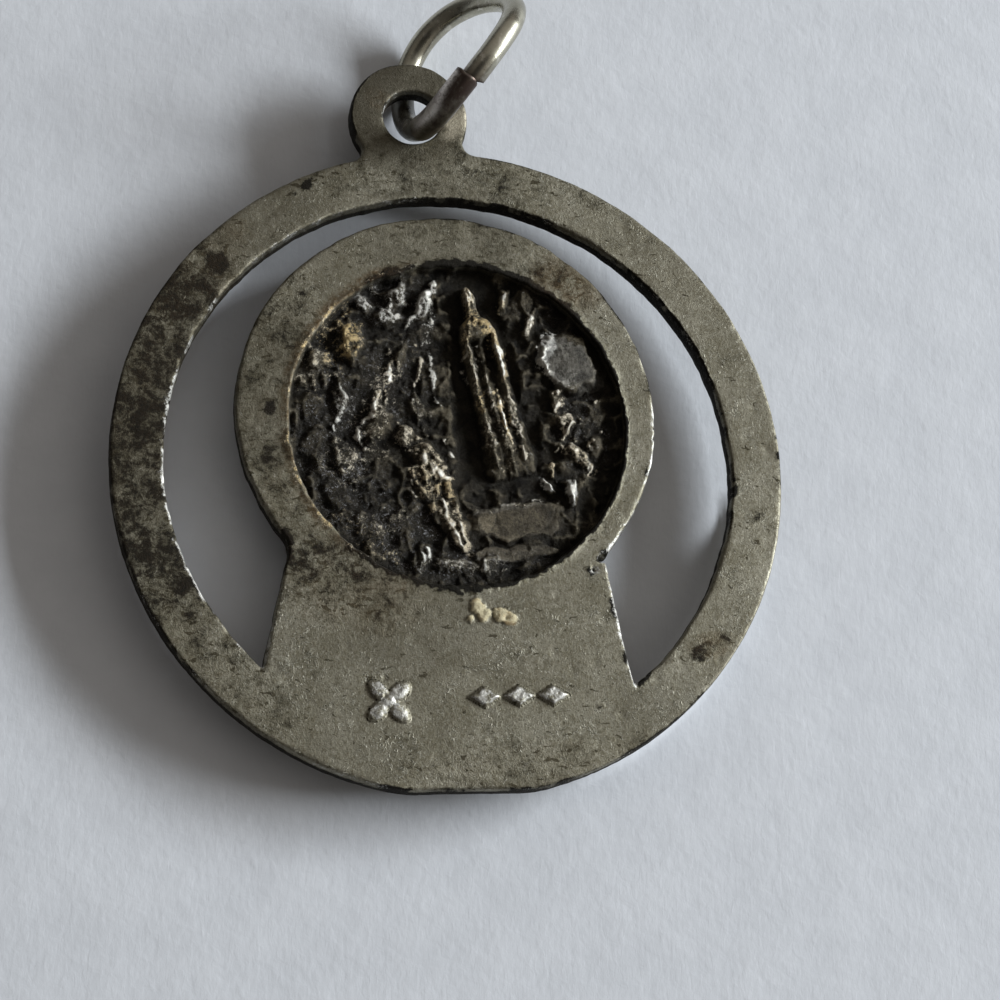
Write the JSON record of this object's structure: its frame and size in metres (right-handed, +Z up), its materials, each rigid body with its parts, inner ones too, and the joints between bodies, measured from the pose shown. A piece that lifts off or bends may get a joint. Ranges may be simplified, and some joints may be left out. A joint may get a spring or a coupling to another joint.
{
  "type": "religious medal pendant",
  "caption": "Round pierced medal lying face down, with a recessed relief scene of a standing and a kneeling veiled figure, a lug and an open jump ring.",
  "frame": {"origin": "on the surface the medal lies on, straight below the outer ring's centre", "axes": "+Y from the outer ring's centre towards the lug and the relief's top, +Z up out of the medal's back"},
  "size_m": [0.025, 0.0316, 0.0062],
  "materials": {
    "medal_metal": "worn cast white metal, oxidised dark in the recess, brown stains",
    "ring_wire": "drawn wire, plating partly worn"
  },
  "bodies": {
    "root": {"medal_body": "medal_metal", "jump_ring": "ring_wire"}
  },
  "joints": []
}
